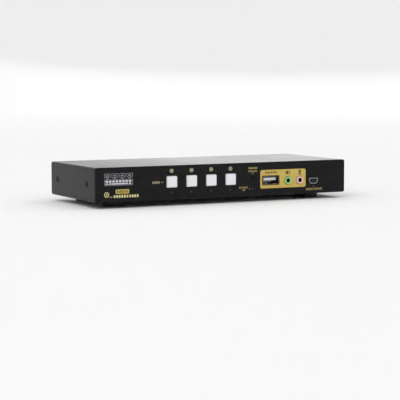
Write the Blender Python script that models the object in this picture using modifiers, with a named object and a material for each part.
"""A desktop KVM switch for four computers: a folded steel case with its boards, controls and sockets.

Units are metres and +Z is up. The front panel looks along -Y and +X is to the right as seen from the
front. The origin is the middle of the object's overall box, on the surface that the feet stand on.
Names ending in HEIGHT or LEVEL are measured up from the underside of the case, and up() adds the feet.
"""

import math

import bmesh
import bpy
from mathutils import Euler, Matrix, Vector

MM = 0.001

# Case: a tray with the front and rear panels, inside a cover with two sides and turned-in lips
CASE_WIDTH = 200 * MM
CASE_DEPTH = 80 * MM
CASE_HEIGHT = 24 * MM
SHEET = 0.8 * MM
GAP = 0.3 * MM
CASE_CORNER = 1.5 * MM
LIP_WIDTH = 11.5 * MM
REAR_RECESS = 5 * MM
SIDE_WALL_HEIGHT = 17 * MM
BUTTON_PROUD = 1.2 * MM

# Feet
FOOT_HEIGHT = 4.2 * MM
FOOT_RADIUS = 8.9 * MM
FOOT_X = 78 * MM
FOOT_Y = (-20.4 * MM, 26 * MM)

# The planes that the panels lie in
FRONT = BUTTON_PROUD - (CASE_DEPTH + BUTTON_PROUD) / 2
FRONT_INSIDE = FRONT + SHEET
COVER_REAR = FRONT + CASE_DEPTH
REAR = COVER_REAR - REAR_RECESS
REAR_INSIDE = REAR - SHEET
TRAY_SIDE = CASE_WIDTH / 2 - SHEET - GAP
TRAY_LEVEL = SHEET + GAP
TRAY_FLOOR = TRAY_LEVEL + SHEET
TRAY_TOP = CASE_HEIGHT - SHEET - GAP

# Cover screws: countersunk M2.5, two in each side
SCREW_Y = (FRONT + 14 * MM, COVER_REAR - 12 * MM)
SCREW_HEIGHT = 12 * MM
SCREW_HEAD_RADIUS = 2.1 * MM
SHANK_RADIUS = 1.25 * MM
SHANK_LENGTH = 5 * MM
SIDE_HOLE_RADIUS = 1.75 * MM

# Main board, on four bosses of the tray
BOARD = 1.6 * MM
BOARD_LEVEL = 7.4 * MM
BOARD_LEFT = -94 * MM
BOARD_RIGHT = 92 * MM
BOARD_REAR = 33.4 * MM
BOARD_FRONT = FRONT_INSIDE + 1 * MM
BOARD_HOLES = ((-90 * MM, -22 * MM), (-90 * MM, 26 * MM), (86 * MM, -30 * MM), (86 * MM, 8 * MM))
BOSS_RADIUS = 3 * MM
BOSS_HOLE_RADIUS = 1.6 * MM
BOARD_HOLE_RADIUS = 1.7 * MM
BOARD_REAR_ROOM = 17 * MM

# What stands on the main board: (width, depth, height) of each chip, and (x, y) places
MAIN_CHIP_SIZE = (20 * MM, 20 * MM, 1.6 * MM)
MAIN_CHIP_PLACE = (-20 * MM, 2 * MM)
PORT_CHIP_SIZE = (12 * MM, 12 * MM, 1.4 * MM)
PORT_CHIP_PLACE = (42 * MM, -8 * MM)
CAPACITOR_PLACE = (66 * MM, 14 * MM)
CAPACITOR_RADIUS = 4 * MM
CAPACITOR_HEIGHT = 10 * MM
HEADER_X = -20 * MM
HEADER_PINS = 10
HEADER_PITCH = 2.54 * MM
HEADER_PIN = 0.64 * MM
HEADER_BLOCK = (2.5 * MM, 2.6 * MM)
LEAD_RADIUS = 1.1 * MM
LEAD_END = (74 * MM, 6 * MM)

# Front board, upright behind the select buttons
FRONT_BOARD_Y = -31.5 * MM
FRONT_BOARD_X = (-62 * MM, 27 * MM)
FRONT_BOARD_LEVELS = (3 * MM, 20.6 * MM)

# Front controls
SELECT_PITCH = 15.5 * MM
SELECT_X = [-42.35 * MM + SELECT_PITCH * number for number in range(4)]
SELECT_SIZE = 7.8 * MM
BUTTON_HEIGHT = 12.6 * MM
FLANGE_GROWTH = 0.7 * MM
FLANGE = 1 * MM
STEM_RADIUS = 1.65 * MM
STEM_LENGTH = 2.9 * MM
SWITCH_SIZE = 6 * MM
BUTTON_TRAVEL = 0.8 * MM
SCAN_X = 22.3 * MM
SCAN_RADIUS = 1.5 * MM
LED_HEIGHT = 5.1 * MM
LED_RADIUS = 0.6 * MM
LED_BASE_RADIUS = 1.5 * MM
SCAN_LED_X = 22.4 * MM

# Sockets: (x, height of the centre)
DATA_SOCKET = (13.7 * MM, 6.3 * MM)
VIDEO_SOCKET = (15.0 * MM, 5.8 * MM)
SERVICE_SOCKET = (7.4 * MM, 4.1 * MM)
WALL = 0.5 * MM
INSULATOR_SHRINK = -2 * (WALL + GAP)
SOCKET_PROUD = 0.4 * MM
DATA_DEPTH = 13.5 * MM
VIDEO_DEPTH = 11 * MM
SERVICE_DEPTH = 7.4 * MM
TONGUE_INSET = 1 * MM
DATA_TONGUE_INSET = 2.6 * MM
DATA_TONGUE_RISE = 0.8 * MM
TONGUE_RISE = 0.2 * MM
SEAT_DEPTH = 3 * MM
SERVICE_SEAT_DEPTH = 1.5 * MM
FRONT_PORT = (37.25 * MM, 10.75 * MM)
SERVICE_PORT = (73.1 * MM, 9.1 * MM)
SPEAKER_JACK = (51.6 * MM, 10.05 * MM)
MICROPHONE_JACK = (61.55 * MM, 10.05 * MM)
MOUSE_PORT = (57.9 * MM, 10.9 * MM)
KEYBOARD_PORT = (40.2 * MM, 10.9 * MM)
VIDEO_OUT = (17.3 * MM, 10.6 * MM)
VIDEO_PITCH = 24.05 * MM
VIDEO_IN = [(-7.1 * MM - VIDEO_PITCH * number, 10.6 * MM) for number in range(4)]
JACK_RADIUS = 2.8 * MM
JACK_BORE = 1.8 * MM
JACK_BODY = (8 * MM, 11 * MM, 5.2 * MM)
JACK_PROUD = 0.8 * MM

# Power inlet and power rocker
POWER_INLET = (75.4 * MM, 13.6 * MM)
INLET_RADIUS = 3.8 * MM
INLET_BORE = 3 * MM
INLET_BACK = 21 * MM
ROCKER = (86.2 * MM, 11.6 * MM)
ROCKER_SIZE = (7.2 * MM, 12 * MM)
ROCKER_TILT = math.radians(12)
BEZEL_SIZE = (10.8 * MM, 15.4 * MM)
BEZEL_THICKNESS = 1.1 * MM
HOUSING_WALL = 0.6 * MM
HOUSING_BACK = 22 * MM
TERMINAL_LENGTH = 4.5 * MM

AXIS_TURN = {
    "X": Matrix.Rotation(math.pi / 2, 4, "Y"),
    "Y": Matrix.Rotation(-math.pi / 2, 4, "X"),
    "Z": Matrix.Identity(4),
}
OUTLINE_TURN = {
    "XY": Euler((0, 0, 0)),
    "XZ": Euler((math.pi / 2, 0, 0)),
    "YZ": Euler((math.pi / 2, 0, math.pi / 2)),
}
TO_FRONT = Euler((math.pi / 2, 0, 0))

# Colour, roughness and metallic value of each finish
FINISHES = {
    "black powder coat": ((0.018, 0.018, 0.018), 0.55, 0.3),
    "black rubber": ((0.012, 0.012, 0.012), 0.8, 0.0),
    "black screw": ((0.02, 0.02, 0.02), 0.35, 0.9),
    "zinc": ((0.6, 0.6, 0.58), 0.3, 1.0),
    "nickel": ((0.72, 0.71, 0.68), 0.25, 1.0),
    "board": ((0.01, 0.09, 0.035), 0.45, 0.0),
    "white plastic": ((0.85, 0.85, 0.86), 0.4, 0.0),
    "black plastic": ((0.015, 0.015, 0.016), 0.4, 0.0),
    "clear lens": ((0.55, 0.56, 0.52), 0.15, 0.0),
    "green plastic": ((0.1, 0.6, 0.25), 0.4, 0.0),
    "pink plastic": ((0.85, 0.4, 0.5), 0.4, 0.0),
    "chip": ((0.02, 0.02, 0.022), 0.5, 0.0),
    "can": ((0.1, 0.1, 0.12), 0.35, 0.5),
}

parts = bpy.data.collections.new("KVM switch")
cutters = bpy.data.collections.new("Cutters")


def up(height):
    """A height above the underside of the case, as a world Z."""
    return FOOT_HEIGHT + height


def clear_scene():
    for obj in list(bpy.data.objects):
        bpy.data.objects.remove(obj, do_unlink=True)
    bpy.context.scene.collection.children.link(parts)
    bpy.context.scene.collection.children.link(cutters)


def make_finish(name):
    colour, roughness, metallic = FINISHES[name]
    finish = bpy.data.materials.new(name)
    finish.use_nodes = True
    finish.diffuse_color = (*colour, 1)
    surface = finish.node_tree.nodes["Principled BSDF"]
    surface.inputs["Base Color"].default_value = (*colour, 1)
    surface.inputs["Roughness"].default_value = roughness
    surface.inputs["Metallic"].default_value = metallic
    return finish


def add_object(name, mesh, centre, turn=None):
    obj = bpy.data.objects.new(name, mesh)
    obj.location = centre
    if turn:
        obj.rotation_euler = turn
    parts.objects.link(obj)
    return obj


def block(name, size, centre):
    """A box of the given (x, y, z) size about centre."""
    shape = bmesh.new()
    bmesh.ops.create_cube(shape, size=1, matrix=Matrix.Diagonal((*size, 1)))
    mesh = bpy.data.meshes.new(name)
    shape.to_mesh(mesh)
    shape.free()
    return add_object(name, mesh, centre)


def rod(name, radius, length, centre, axis, end_radius=None, segments=24):
    """A round bar about centre, which may taper to end_radius at the high end of its axis."""
    shape = bmesh.new()
    bmesh.ops.create_cone(
        shape,
        cap_ends=True,
        segments=segments,
        radius1=radius,
        radius2=radius if end_radius is None else end_radius,
        depth=length,
        matrix=AXIS_TURN[axis],
    )
    mesh = bpy.data.meshes.new(name)
    shape.to_mesh(mesh)
    shape.free()
    smooth(mesh)
    return add_object(name, mesh, centre)


def smooth(mesh):
    mesh.shade_smooth()
    mesh.set_sharp_from_angle(angle=math.radians(35))


def prism(name, outline, depth, centre, plane):
    """A solid with a flat outline in the named plane, and half its depth to each side of centre."""
    curve = bpy.data.curves.new(name, "CURVE")
    curve.dimensions = "2D"
    curve.fill_mode = "BOTH"
    curve.extrude = depth / 2
    spline = curve.splines.new("POLY")
    spline.points.add(len(outline) - 1)
    for point, (across, along) in zip(spline.points, outline):
        point.co = (across, along, 0, 1)
    spline.use_cyclic_u = True
    drawn = add_object(name, curve, centre, OUTLINE_TURN[plane])
    return solid_of_curve(drawn)


def solid_of_curve(drawn):
    """The closed mesh object that stands in for a curve object."""
    name = drawn.name
    bpy.context.view_layer.update()
    evaluated = drawn.evaluated_get(bpy.context.evaluated_depsgraph_get())
    mesh = bpy.data.meshes.new_from_object(evaluated)
    world = drawn.matrix_world.copy()
    bpy.data.objects.remove(drawn, do_unlink=True)
    shape = bmesh.new()
    shape.from_mesh(mesh)
    bmesh.ops.remove_doubles(shape, verts=shape.verts, dist=0.001 * MM)
    bmesh.ops.recalc_face_normals(shape, faces=shape.faces)
    shape.to_mesh(mesh)
    shape.free()
    obj = add_object(name, mesh, (0, 0, 0))
    obj.name = name
    obj.matrix_world = world
    return obj


def turned(name, profile, centre, turn=None, segments=32):
    """A turned solid. The profile is (radius, height) points from the axis at the top to the axis below."""
    mesh = bpy.data.meshes.new(name)
    corners = [(radius, 0, height) for radius, height in profile]
    edges = [(index, index + 1) for index in range(len(corners) - 1)]
    mesh.from_pydata(corners, edges, [])
    obj = add_object(name, mesh, centre, turn)
    screw = obj.modifiers.new("Turn", "SCREW")
    screw.steps = segments
    screw.render_steps = segments
    screw.use_merge_vertices = True
    screw.merge_threshold = 0.001 * MM
    return obj


def bent_sheet(name, path, length, centre, closed=False):
    """Sheet folded along the (x, z) path and running along Y. The path is the sheet's outer face, and
    seen from the front the metal lies on its left-hand side."""
    shape = bmesh.new()
    corners = [shape.verts.new((x, -length / 2, z)) for x, z in path]
    pairs = list(zip(corners, corners[1:]))
    if closed:
        pairs.append((corners[-1], corners[0]))
    edges = [shape.edges.new(pair) for pair in pairs]
    drawn = bmesh.ops.extrude_edge_only(shape, edges=edges)
    far = [item for item in drawn["geom"] if isinstance(item, bmesh.types.BMVert)]
    bmesh.ops.translate(shape, vec=(0, length, 0), verts=far)
    mesh = bpy.data.meshes.new(name)
    shape.to_mesh(mesh)
    shape.free()
    smooth(mesh)
    return add_object(name, mesh, centre)


def thicken(obj, thickness):
    skin = obj.modifiers.new("Thickness", "SOLIDIFY")
    skin.thickness = thickness
    skin.offset = -1
    skin.use_even_offset = True


def round_edges(obj, width, segments=2):
    edge = obj.modifiers.new("Rounded edges", "BEVEL")
    edge.width = width
    edge.segments = segments
    edge.limit_method = "ANGLE"


def combine(target, others, operation):
    """Joins the other shapes to target with UNION, or cuts them from it with DIFFERENCE."""
    for other in others:
        change = target.modifiers.new(other.name, "BOOLEAN")
        change.operation = operation
        change.object = other
        change.solver = "EXACT"
        parts.objects.unlink(other)
        cutters.objects.link(other)
        other.hide_render = True
        other.display_type = "WIRE"


def rounded(points, radius, steps=3, closed=True):
    """The points of a path with its corners rounded to arcs of the given radius."""
    result = []
    count = len(points)
    for index, point in enumerate(points):
        if not closed and index in (0, count - 1):
            result.append(point)
            continue
        corner = Vector(point)
        before = (Vector(points[index - 1]) - corner).normalized()
        after = (Vector(points[(index + 1) % count]) - corner).normalized()
        half_angle = before.angle(after) / 2
        start = corner + before * radius / math.tan(half_angle)
        middle = corner + (before + after).normalized() * radius / math.sin(half_angle)
        turn = (math.pi - 2 * half_angle) / steps
        if before.x * after.y < before.y * after.x:
            turn = -turn
        for step in range(steps + 1):
            spoke = Matrix.Rotation(-turn * step, 2) @ (start - middle)
            result.append(tuple(middle + spoke))
    return result


def rectangle(width, height, radius):
    x, z = width / 2, height / 2
    return rounded([(-x, -z), (x, -z), (x, z), (-x, z)], radius)


def keyed_outline(width, height, inset, rise, radius):
    """A socket mouth that is wide at the top, with its lower corners cut off."""
    x, z = width / 2, height / 2
    corners = [(-x + inset, -z), (x - inset, -z), (x, -z + rise), (x, z), (-x, z), (-x, -z + rise)]
    return rounded(corners, radius, steps=2)


def video_outline(growth=0):
    return keyed_outline(VIDEO_SOCKET[0] + growth, VIDEO_SOCKET[1] + growth, 2.4 * MM, 2.6 * MM, 0.5 * MM)


def service_outline(growth=0, radius=0.6 * MM):
    return keyed_outline(SERVICE_SOCKET[0] + growth, SERVICE_SOCKET[1] + growth, 1.4 * MM, 1.8 * MM, radius)


def data_outline(growth=0):
    return rectangle(DATA_SOCKET[0] + growth, DATA_SOCKET[1] + growth, 0.5 * MM)


def panel_hole(outline, place, panel):
    """A cutter for an opening with the given outline in a panel whose outer face is at y = panel."""
    return prism("panel_hole", outline, 6 * SHEET, (place[0], panel, up(place[1])), "XZ")


def round_panel_hole(radius, place, panel, segments=24):
    centre = (place[0], panel, up(place[1]))
    return rod("round_panel_hole", radius, 6 * SHEET, centre, "Y", segments=segments)


# The case


def tray_channel():
    """The tray's bottom, sides and rear panel, open at the top and the front."""
    start = FRONT + 0.5 * SHEET
    size = (2 * TRAY_SIDE, REAR - start, TRAY_TOP - TRAY_LEVEL)
    obj = block("base_tray", size, (0, (REAR + start) / 2, up((TRAY_TOP + TRAY_LEVEL) / 2)))
    shape = bmesh.new()
    shape.from_mesh(obj.data)
    shape.normal_update()
    open_faces = [face for face in shape.faces if face.normal.z > 0.5 or face.normal.y < -0.5]
    bmesh.ops.delete(shape, geom=open_faces, context="FACES")
    shape.to_mesh(obj.data)
    shape.free()
    thicken(obj, SHEET)
    return obj


def front_openings():
    button_hole = rectangle(SELECT_SIZE + 2 * GAP, SELECT_SIZE + 2 * GAP, 0.8 * MM)
    holes = [panel_hole(button_hole, (x, BUTTON_HEIGHT), FRONT) for x in SELECT_X]
    for x in SELECT_X + [SCAN_LED_X]:
        holes.append(round_panel_hole(LED_RADIUS + GAP, (x, LED_HEIGHT), FRONT, segments=16))
    holes.append(round_panel_hole(SCAN_RADIUS + GAP, (SCAN_X, BUTTON_HEIGHT), FRONT))
    holes.append(panel_hole(data_outline(2 * GAP), FRONT_PORT, FRONT))
    holes.append(panel_hole(service_outline(2 * GAP), SERVICE_PORT, FRONT))
    for jack in (SPEAKER_JACK, MICROPHONE_JACK):
        holes.append(round_panel_hole(JACK_RADIUS + GAP, jack, FRONT))
    return holes


def rear_openings():
    holes = [panel_hole(data_outline(2 * GAP), port, REAR) for port in (MOUSE_PORT, KEYBOARD_PORT)]
    for port in [VIDEO_OUT] + VIDEO_IN:
        holes.append(panel_hole(video_outline(2 * GAP), port, REAR))
    holes.append(round_panel_hole(INLET_RADIUS + GAP, POWER_INLET, REAR))
    width, height = housing_size()
    rocker_hole = rectangle(width + 2 * GAP, height + 2 * GAP, 0.4 * MM)
    holes.append(panel_hole(rocker_hole, ROCKER, REAR))
    return holes


def base_tray():
    tray = tray_channel()
    panel = prism(
        "front_panel",
        rectangle(CASE_WIDTH, CASE_HEIGHT, CASE_CORNER),
        SHEET,
        (0, FRONT + SHEET / 2, up(CASE_HEIGHT / 2)),
        "XZ",
    )
    bosses = []
    boss_holes = []
    boss_top = BOARD_LEVEL - BOARD - GAP
    boss_foot = TRAY_LEVEL + SHEET / 2
    hole_foot = TRAY_FLOOR + GAP
    for x, y in BOARD_HOLES:
        middle = up((boss_top + boss_foot) / 2)
        bosses.append(rod("boss", BOSS_RADIUS, boss_top - boss_foot, (x, y, middle), "Z"))
        depth = 2 * (boss_top - hole_foot)
        boss_holes.append(rod("boss_hole", BOSS_HOLE_RADIUS, depth, (x, y, up(boss_top)), "Z", segments=16))
    combine(tray, [panel] + bosses, "UNION")
    corner_tab = 1.5 * MM
    start = FRONT_INSIDE + corner_tab
    end = REAR_INSIDE - corner_tab
    notch_height = CASE_HEIGHT
    notch = block(
        "side_notch",
        (CASE_WIDTH * 1.1, end - start, notch_height),
        (0, (start + end) / 2, up(SIDE_WALL_HEIGHT + notch_height / 2)),
    )
    side_holes = [
        rod("side_hole", SIDE_HOLE_RADIUS, 2.2 * TRAY_SIDE, (0, y, up(SCREW_HEIGHT)), "X", segments=16)
        for y in SCREW_Y
    ]
    combine(tray, [notch] + boss_holes + side_holes, "DIFFERENCE")
    combine(tray, front_openings() + rear_openings(), "DIFFERENCE")
    return tray


def top_cover():
    side = CASE_WIDTH / 2
    lip_end = side - LIP_WIDTH
    corners = [(lip_end, 0), (side, 0), (side, CASE_HEIGHT)]
    corners += [(-x, z) for x, z in reversed(corners)]
    path = rounded(corners, CASE_CORNER, steps=4, closed=False)
    start = FRONT_INSIDE + GAP
    cover = bent_sheet("top_cover", path, COVER_REAR - start, (0, (start + COVER_REAR) / 2, up(0)))
    thicken(cover, SHEET)
    margin = 0.4 * MM
    rim = SCREW_HEAD_RADIUS + GAP
    sinks = []
    for y in SCREW_Y:
        for sign in (-1, 1):
            wide, narrow = rim + margin, rim - SHEET - margin
            radii = (narrow, wide) if sign > 0 else (wide, narrow)
            centre = (sign * (side - SHEET / 2), y, up(SCREW_HEIGHT))
            sinks.append(rod("sink", radii[0], SHEET + 2 * margin, centre, "X", radii[1]))
    combine(cover, sinks, "DIFFERENCE")
    return cover


def foot(name, x, y):
    """A stick-on rubber foot, slightly narrower where it meets the table."""
    top = up(TRAY_LEVEL - GAP)
    taper = 0.6 * MM
    edge = 0.5 * MM
    bottom = FOOT_RADIUS - taper
    profile = [
        (0, top),
        (FOOT_RADIUS, top),
        (bottom, edge),
        (bottom - 0.3 * edge, 0.3 * edge),
        (bottom - edge, 0),
        (0, 0),
    ]
    return turned(name, profile, (x, y, 0))


def cover_screw(name, side, y):
    """A countersunk screw, its head level with the cover and its cross slot facing out."""
    neck = SCREW_HEAD_RADIUS - SHANK_RADIUS
    profile = [
        (0, 0),
        (SCREW_HEAD_RADIUS, 0),
        (SHANK_RADIUS, -neck),
        (SHANK_RADIUS, -SHANK_LENGTH),
        (0, -SHANK_LENGTH),
    ]
    centre = (side * CASE_WIDTH / 2, y, up(SCREW_HEIGHT))
    screw = turned(name, profile, centre, Euler((0, side * math.pi / 2, 0)), segments=16)
    span, width, depth = 2.4 * MM, 0.6 * MM, 0.6 * MM
    slots = [
        block("cross_slot", (2 * depth, span, width), centre),
        block("cross_slot", (2 * depth, width, span), centre),
    ]
    combine(screw, slots, "DIFFERENCE")
    return screw


# Boards and what stands on them


def main_board():
    """The outline leaves room for the front board, the service socket and the power rocker."""
    inner_front = FRONT_BOARD_Y + 2.2 * MM
    right_front = FRONT_BOARD_X[1] + 1.5 * MM
    rocker_room = ROCKER[0] - 6 * MM
    socket_half = SERVICE_SOCKET[0] / 2 + GAP
    socket_back = FRONT - SOCKET_PROUD + SERVICE_DEPTH + 2 * GAP
    outline = [
        (BOARD_LEFT, inner_front),
        (right_front, inner_front),
        (right_front, BOARD_FRONT),
        (SERVICE_PORT[0] - socket_half, BOARD_FRONT),
        (SERVICE_PORT[0] - socket_half, socket_back),
        (SERVICE_PORT[0] + socket_half, socket_back),
        (SERVICE_PORT[0] + socket_half, BOARD_FRONT),
        (BOARD_RIGHT, BOARD_FRONT),
        (BOARD_RIGHT, BOARD_REAR_ROOM),
        (rocker_room, BOARD_REAR_ROOM),
        (rocker_room, BOARD_REAR),
        (BOARD_LEFT, BOARD_REAR),
    ]
    board = prism("main_board", outline, BOARD, (0, 0, up(BOARD_LEVEL - BOARD / 2)), "XY")
    holes = [
        rod("board_hole", BOARD_HOLE_RADIUS, 3 * BOARD, (x, y, up(BOARD_LEVEL)), "Z", segments=16)
        for x, y in BOARD_HOLES
    ]
    combine(board, holes, "DIFFERENCE")
    return board


def front_board():
    left, right = FRONT_BOARD_X
    bottom, top = FRONT_BOARD_LEVELS
    centre = ((left + right) / 2, FRONT_BOARD_Y, up((bottom + top) / 2))
    return block("front_board", (right - left, BOARD, top - bottom), centre)


def board_screw(name, x, y):
    """A pan-head screw through the main board into a boss."""
    head_radius = 2.7 * MM
    head_height = 1.7 * MM
    dome = 0.6 * MM
    shank = 4.6 * MM
    profile = [
        (0, head_height),
        (head_radius - 2 * dome, head_height),
        (head_radius - 0.6 * dome, head_height - 0.4 * dome),
        (head_radius, head_height - 1.2 * dome),
        (head_radius, 0),
        (SHANK_RADIUS, 0),
        (SHANK_RADIUS, -shank),
        (0, -shank),
    ]
    centre = (x, y, up(BOARD_LEVEL + GAP))
    screw = turned(name, profile, centre, segments=16)
    top = (x, y, up(BOARD_LEVEL + GAP + head_height))
    span, width, depth = 2.8 * MM, 0.6 * MM, 0.7 * MM
    slots = [
        block("cross_slot", (span, width, 2 * depth), top),
        block("cross_slot", (width, span, 2 * depth), top),
    ]
    combine(screw, slots, "DIFFERENCE")
    return screw


def chip(name, size, place):
    body = block(name, size, (*place, up(BOARD_LEVEL + GAP + size[2] / 2)))
    round_edges(body, 0.2 * MM, segments=1)
    return body


def board_header():
    """A right-angle header: its block stands on the main board and its pins reach the front board."""
    block_depth, block_height = HEADER_BLOCK
    back = FRONT_BOARD_Y + BOARD / 2 + GAP
    block_front = back + 2.1 * MM
    height = up(BOARD_LEVEL + GAP + block_height / 2)
    size = (HEADER_PINS * HEADER_PITCH, block_depth, block_height)
    body = block("board_header", size, (HEADER_X, block_front + block_depth / 2, height))
    first = HEADER_X - HEADER_PITCH * (HEADER_PINS - 1) / 2
    reach = block_front - back + block_depth / 2
    legs = []
    for pin in range(HEADER_PINS):
        centre = (first + HEADER_PITCH * pin, back + reach / 2, height)
        legs.append(block("pin", (HEADER_PIN, reach, HEADER_PIN), centre))
    combine(body, legs, "UNION")
    return body


def power_capacitor():
    """A round can with the groove of its rolled seal near the board."""
    radius = CAPACITOR_RADIUS
    height = CAPACITOR_HEIGHT
    waist = 0.3 * MM
    groove = 1.4 * MM
    profile = [
        (0, height),
        (radius - waist, height),
        (radius, height - waist),
        (radius, groove + 1 * MM),
        (radius - waist, groove + 0.7 * MM),
        (radius - waist, groove + 0.3 * MM),
        (radius, groove),
        (radius, 0),
        (0, 0),
    ]
    return turned("power_capacitor", profile, (*CAPACITOR_PLACE, up(BOARD_LEVEL + GAP)), segments=24)


# Front controls


def flange_front():
    return FRONT_INSIDE + GAP


def select_button(name, x):
    """A square white cap, a flange that keeps it behind the panel, and the stem that works the switch."""
    cap_front = FRONT - BUTTON_PROUD
    cap_back = flange_front() + 0.8 * FLANGE
    flange_middle = flange_front() + FLANGE / 2
    stem_end = flange_front() + FLANGE + STEM_LENGTH
    height = up(BUTTON_HEIGHT)
    cap_middle = (x, (cap_front + cap_back) / 2, height)
    cap = block(name, (SELECT_SIZE, cap_back - cap_front, SELECT_SIZE), cap_middle)
    round_edges(cap, 0.4 * MM)
    plate_size = SELECT_SIZE + 2 * FLANGE_GROWTH
    plate = block("flange", (plate_size, FLANGE, plate_size), (x, flange_middle, height))
    stem_middle = (x, (flange_middle + stem_end) / 2, height)
    stem = rod("stem", STEM_RADIUS, stem_end - flange_middle, stem_middle, "Y", segments=20)
    combine(cap, [plate, stem], "UNION")
    return cap


def push_switch(name, x):
    """The body of a momentary switch on the front board, with the hole that its stem moves in."""
    front = flange_front() + FLANGE + BUTTON_TRAVEL + GAP
    back = FRONT_BOARD_Y - BOARD / 2 - GAP
    height = up(BUTTON_HEIGHT)
    body = block(name, (SWITCH_SIZE, back - front, SWITCH_SIZE), (x, (front + back) / 2, height))
    floor = 0.6 * MM
    hole_depth = back - front - floor
    bore = rod("stem_hole", STEM_RADIUS + GAP, 2 * hole_depth, (x, front, height), "Y", segments=20)
    combine(body, [bore], "DIFFERENCE")
    return body


def scan_button():
    """The small round black button, level with the panel, on the same kind of stem and flange."""
    tip = 0.3 * MM
    length = flange_front() - FRONT
    stem_start = length + FLANGE
    stem_end = stem_start + STEM_LENGTH
    radius = SCAN_RADIUS
    rim = radius + 1 * MM
    profile = [
        (0, 0),
        (radius - tip, 0),
        (radius, -tip),
        (radius, -length),
        (rim, -length),
        (rim, -stem_start),
        (STEM_RADIUS, -stem_start),
        (STEM_RADIUS, -stem_end),
        (0, -stem_end),
    ]
    return turned("scan_button", profile, (SCAN_X, FRONT, up(BUTTON_HEIGHT)), TO_FRONT, segments=20)


def indicator(name, x):
    """A small LED: a domed lens that shows through the panel on a wider base on the front board."""
    dome = 0.4 * MM
    base_front = 4.4 * MM
    back = FRONT_BOARD_Y - BOARD / 2 - GAP - FRONT
    profile = [
        (0, dome),
        (0.5 * LED_RADIUS, 0.85 * dome),
        (0.87 * LED_RADIUS, 0.5 * dome),
        (LED_RADIUS, 0),
        (LED_RADIUS, -base_front),
        (LED_BASE_RADIUS, -base_front),
        (LED_BASE_RADIUS, -back),
        (0, -back),
    ]
    return turned(name, profile, (x, FRONT, up(LED_HEIGHT)), TO_FRONT, segments=16)


# Sockets


def socket_shell(name, outline, place, mouth, depth, side):
    """A metal tube with its mouth at y = mouth. side is -1 at the front and 1 at the rear."""
    centre = (place[0], mouth - side * depth / 2, up(place[1]))
    shell = bent_sheet(name, outline, depth, centre, closed=True)
    thicken(shell, WALL)
    return shell


def socket_core(
    name, outline, place, mouth, depth, side, tongue, seat=SEAT_DEPTH, inset=TONGUE_INSET, rise=TONGUE_RISE
):
    """The insulator at the back of a socket and its (width, height) tongue, which starts inset from the
    mouth and has its middle raised by rise."""
    x, z = place[0], up(place[1])
    core = prism(name, outline, seat, (x, mouth - side * (depth - seat / 2), z), "XZ")
    reach = depth - seat / 2 - inset
    blade = block("tongue", (tongue[0], reach, tongue[1]), (x, mouth - side * (inset + reach / 2), z + rise))
    combine(core, [blade], "UNION")
    return core


def data_port(name, place, side):
    mouth = (FRONT if side < 0 else REAR) + side * SOCKET_PROUD
    depth = DATA_DEPTH
    seat = data_outline(INSULATOR_SHRINK)
    tongue = (11 * MM, 1.9 * MM)
    shell = socket_shell(f"{name}_shell", data_outline(), place, mouth, depth, side)
    core = socket_core(
        f"{name}_core",
        seat,
        place,
        mouth,
        depth,
        side,
        tongue,
        inset=DATA_TONGUE_INSET,
        rise=DATA_TONGUE_RISE,
    )
    return shell, core


def video_port(name, place):
    mouth = REAR + SOCKET_PROUD
    seat = video_outline(INSULATOR_SHRINK)
    tongue = (10.4 * MM, 1.3 * MM)
    shell = socket_shell(f"{name}_shell", video_outline(), place, mouth, VIDEO_DEPTH, 1)
    core = socket_core(f"{name}_core", seat, place, mouth, VIDEO_DEPTH, 1, tongue)
    return shell, core


def service_port():
    mouth = FRONT - SOCKET_PROUD
    place, depth = SERVICE_PORT, SERVICE_DEPTH
    seat = service_outline(INSULATOR_SHRINK, 0.4 * MM)
    tongue = (3.9 * MM, 0.9 * MM)
    shell = socket_shell("service_port_shell", service_outline(), place, mouth, depth, -1)
    core = socket_core("service_port_core", seat, place, mouth, depth, -1, tongue, SERVICE_SEAT_DEPTH)
    return shell, core


def audio_jack(name, place):
    """A board-mounted jack: a square body and a coloured nose that stands just proud of the panel."""
    x, z = place[0], up(place[1])
    body_front = FRONT_INSIDE + GAP
    nose_front = FRONT - JACK_PROUD
    nose_back = body_front + 0.4 * MM
    body = block(name, JACK_BODY, (x, body_front + JACK_BODY[1] / 2, z))
    nose = rod("nose", JACK_RADIUS, nose_back - nose_front, (x, (nose_back + nose_front) / 2, z), "Y")
    bore = rod("bore", JACK_BORE, 2 * JACK_BODY[1], (x, nose_front, z), "Y")
    combine(body, [nose], "UNION")
    combine(body, [bore], "DIFFERENCE")
    return body


# Power inlet and rocker


def power_inlet():
    """The square body of the power inlet and the round collar that comes through the panel."""
    x, z = POWER_INLET[0], up(POWER_INLET[1])
    width = 9 * MM
    bore_depth = 9 * MM
    bottom, top = up(BOARD_LEVEL + GAP), z + INLET_RADIUS + 1.5 * MM
    body_front = REAR_INSIDE - GAP
    collar_front = REAR + GAP
    collar_start = body_front - 1 * MM
    size = (width, body_front - INLET_BACK, top - bottom)
    body = block("power_inlet", size, (x, (body_front + INLET_BACK) / 2, (top + bottom) / 2))
    collar_middle = (x, (collar_front + collar_start) / 2, z)
    collar = rod("collar", INLET_RADIUS, collar_front - collar_start, collar_middle, "Y")
    bore = rod("bore", INLET_BORE, 2 * bore_depth, (x, collar_front, z), "Y")
    combine(body, [collar], "UNION")
    combine(body, [bore], "DIFFERENCE")
    return body


def power_pin():
    """The round contact in the middle of the power inlet."""
    radius = 1 * MM
    length = 8 * MM
    tip = 0.5 * MM
    profile = [(0, 0), (radius - tip, 0), (radius, -tip), (radius, -length), (0, -length)]
    front = REAR - 0.4 * MM
    to_rear = Euler((-math.pi / 2, 0, 0))
    return turned("power_pin", profile, (POWER_INLET[0], front, up(POWER_INLET[1])), to_rear, segments=16)


def rocker_pocket():
    return ROCKER_SIZE[0] + 2 * GAP, ROCKER_SIZE[1] + 2 * GAP


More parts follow.
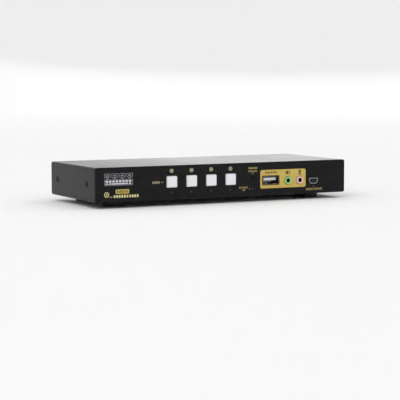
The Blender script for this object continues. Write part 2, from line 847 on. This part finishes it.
def housing_size():
    width, height = rocker_pocket()
    return width + 2 * HOUSING_WALL, height + 2 * HOUSING_WALL


def rocker_housing():
    """The frame of the rocker switch: a bezel outside the panel, a body behind it and two terminals."""
    x, z = ROCKER[0], up(ROCKER[1])
    width, height = housing_size()
    bezel_back = REAR + GAP
    bezel_front = bezel_back + BEZEL_THICKNESS
    body_middle = (x, (bezel_front + HOUSING_BACK) / 2, z)
    body = block("rocker_housing", (width, bezel_front - HOUSING_BACK, height), body_middle)
    overlap = 0.1 * MM
    bezel_middle = (x, (bezel_front + overlap + bezel_back) / 2, z)
    bezel = prism("bezel", rectangle(*BEZEL_SIZE, 0.8 * MM), BEZEL_THICKNESS + overlap, bezel_middle, "XZ")
    blade_size = (4 * MM, TERMINAL_LENGTH + 0.5 * MM, 0.8 * MM)
    blade_y = HOUSING_BACK + 0.5 * MM - blade_size[1] / 2
    blades = [block("blade", blade_size, (x, blade_y, z + offset)) for offset in (-3.5 * MM, 3.5 * MM)]
    pocket_width, pocket_height = rocker_pocket()
    pocket_depth = 9 * MM
    pocket = block("pocket", (pocket_width, 2 * pocket_depth, pocket_height), (x, bezel_front, z))
    combine(body, [bezel] + blades, "UNION")
    combine(body, [pocket], "DIFFERENCE")
    return body


def power_rocker():
    """The rocker turns about X. Its two faces meet in a shallow V and its ends are arcs about the axis.
    It rests with its upper end pressed in."""
    width, height = ROCKER_SIZE
    radius = height / 2
    valley = 1.6 * MM
    slope = math.tan(ROCKER_TILT)
    spread = 1 + slope * slope
    reach = (math.sqrt(spread * radius * radius - valley * valley) - valley * slope) / spread
    outer_angle = math.asin((valley + slope * reach) / radius)
    inner_angle = math.radians(-18)
    steps = 5
    arc = []
    for step in range(steps + 1):
        angle = outer_angle + (inner_angle - outer_angle) * step / steps
        arc.append((radius * math.sin(angle), radius * math.cos(angle)))
    outline = [(valley, 0)] + arc + [(y, -z) for y, z in reversed(arc)]
    axis = (ROCKER[0], REAR + 0.2 * MM, up(ROCKER[1]))
    rocker = prism("power_rocker", outline, width, axis, "YZ")
    rocker.matrix_world = rocker.matrix_world @ Matrix.Rotation(ROCKER_TILT, 4, "Z")
    return rocker


def power_lead():
    """The two-core lead from the rocker's terminals to the main board."""
    start = Vector((ROCKER[0], HOUSING_BACK - TERMINAL_LENGTH - GAP - LEAD_RADIUS, up(ROCKER[1])))
    end = Vector((*LEAD_END, up(BOARD_LEVEL + GAP + LEAD_RADIUS)))
    curve = bpy.data.curves.new("power_lead", "CURVE")
    curve.dimensions = "3D"
    curve.bevel_depth = LEAD_RADIUS
    curve.bevel_resolution = 1
    curve.use_fill_caps = True
    spline = curve.splines.new("POLY")
    steps = 8
    spline.points.add(steps)
    for step, point in enumerate(spline.points):
        share = step / steps
        ease = share * share * (3 - 2 * share)
        place = start.lerp(end, share)
        place.z = start.z + (end.z - start.z) * ease
        point.co = (*place, 1)
    return solid_of_curve(add_object("power_lead", curve, (0, 0, 0)))


def finish_parts(groups):
    """Gives each group of pieces its material, and hangs every piece on the object's own empty."""
    root = bpy.data.objects.new("kvm_switch", None)
    parts.objects.link(root)
    for name, pieces in groups.items():
        finish = make_finish(name)
        for piece in pieces:
            piece.data.materials.clear()
            piece.data.materials.append(finish)
            piece.parent = root


def build():
    clear_scene()
    feet = []
    cover_screws = []
    for end, foot_y, screw_y in zip(("front", "rear"), FOOT_Y, SCREW_Y):
        for side, sign in (("left", -1), ("right", 1)):
            feet.append(foot(f"foot_{end}_{side}", sign * FOOT_X, foot_y))
            cover_screws.append(cover_screw(f"cover_screw_{end}_{side}", sign, screw_y))
    board_screws = [board_screw(f"board_screw_{n}", x, y) for n, (x, y) in enumerate(BOARD_HOLES, 1)]
    buttons = [select_button(f"select_button_{n}", x) for n, x in enumerate(SELECT_X, 1)]
    switches = [push_switch(f"select_switch_{n}", x) for n, x in enumerate(SELECT_X, 1)]
    switches.append(push_switch("scan_switch", SCAN_X))
    lamps = [indicator(f"port_led_{n}", x) for n, x in enumerate(SELECT_X, 1)]
    lamps.append(indicator("scan_led", SCAN_LED_X))
    front_shell, front_core = data_port("front_port", FRONT_PORT, -1)
    mouse_shell, mouse_core = data_port("mouse_port", MOUSE_PORT, 1)
    keyboard_shell, keyboard_core = data_port("keyboard_port", KEYBOARD_PORT, 1)
    service_shell, service_core = service_port()
    videos = [video_port("video_out", VIDEO_OUT)]
    videos += [video_port(f"video_in_{n}", place) for n, place in enumerate(VIDEO_IN, 1)]
    shells = [front_shell, mouse_shell, keyboard_shell, service_shell] + [shell for shell, _ in videos]
    chips = [
        chip("main_chip", MAIN_CHIP_SIZE, MAIN_CHIP_PLACE),
        chip("port_chip", PORT_CHIP_SIZE, PORT_CHIP_PLACE),
    ]
    finish_parts(
        {
            "black powder coat": [base_tray(), top_cover()],
            "black rubber": feet,
            "black screw": cover_screws,
            "zinc": board_screws,
            "nickel": shells + [power_pin()],
            "board": [main_board(), front_board()],
            "white plastic": buttons + [front_core, mouse_core, keyboard_core],
            "black plastic": switches
            + [core for _, core in videos]
            + [service_core, scan_button(), power_inlet(), rocker_housing(), power_rocker()]
            + [board_header(), power_lead()],
            "clear lens": lamps,
            "green plastic": [audio_jack("speaker_jack", SPEAKER_JACK)],
            "pink plastic": [audio_jack("microphone_jack", MICROPHONE_JACK)],
            "chip": chips,
            "can": [power_capacitor()],
        }
    )


build()
